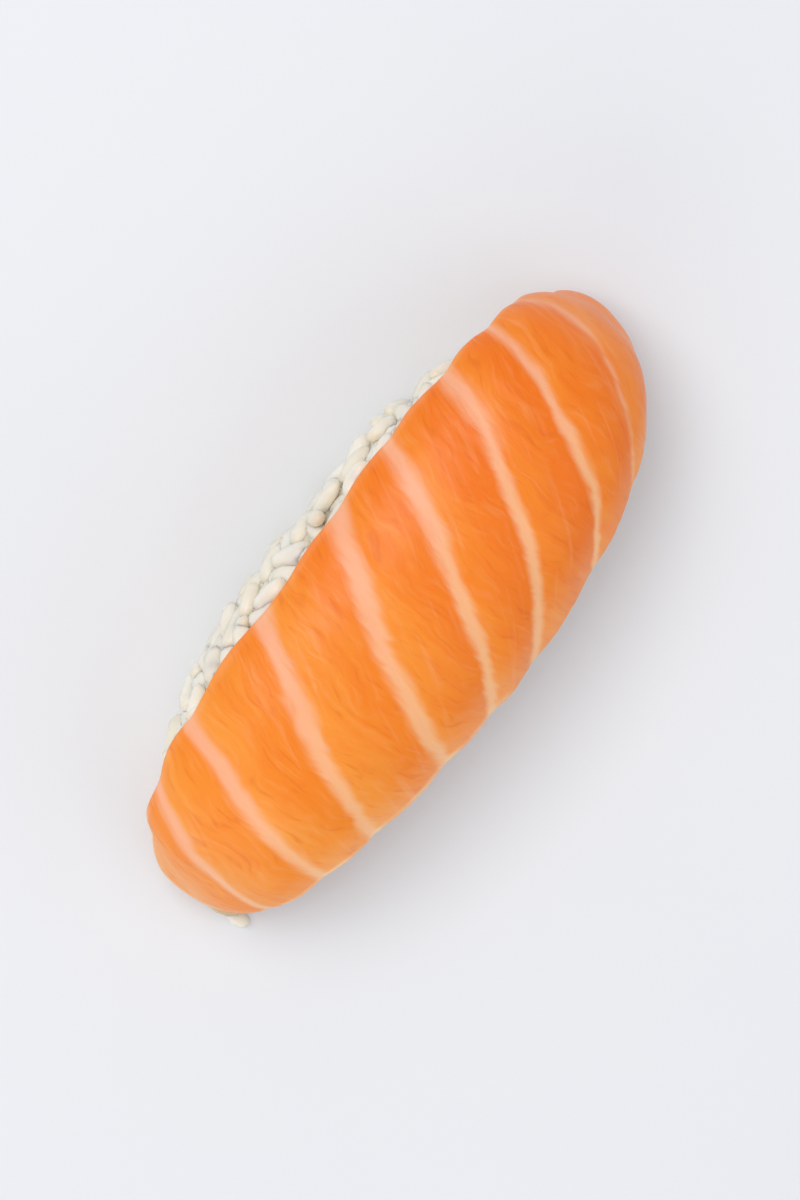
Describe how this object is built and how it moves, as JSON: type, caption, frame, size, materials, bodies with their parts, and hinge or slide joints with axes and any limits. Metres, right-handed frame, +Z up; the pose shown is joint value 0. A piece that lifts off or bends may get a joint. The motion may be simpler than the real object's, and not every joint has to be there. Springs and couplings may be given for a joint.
{
  "type": "salmon nigiri",
  "caption": "Pressed block of sushi rice under a slice of raw salmon that follows it and hangs over both ends, its pale fat lines slanting across.",
  "frame": {"origin": "middle of the footprint's box, on the surface the rice stands on", "axes": "+X along the piece, towards the end of the slice that is cut on the slant; +Y towards the side where the rice stands out past the slice; +Z up"},
  "size_m": [0.075, 0.0282, 0.0244],
  "materials": {
    "sushi_rice": "cooked short-grain rice, pearly and slightly sticky",
    "raw_salmon": "raw salmon flesh, moist satin sheen, pale fat lines"
  },
  "bodies": {
    "root": {"rice_block": "sushi_rice", "salmon_slice": "raw_salmon"}
  },
  "joints": []
}
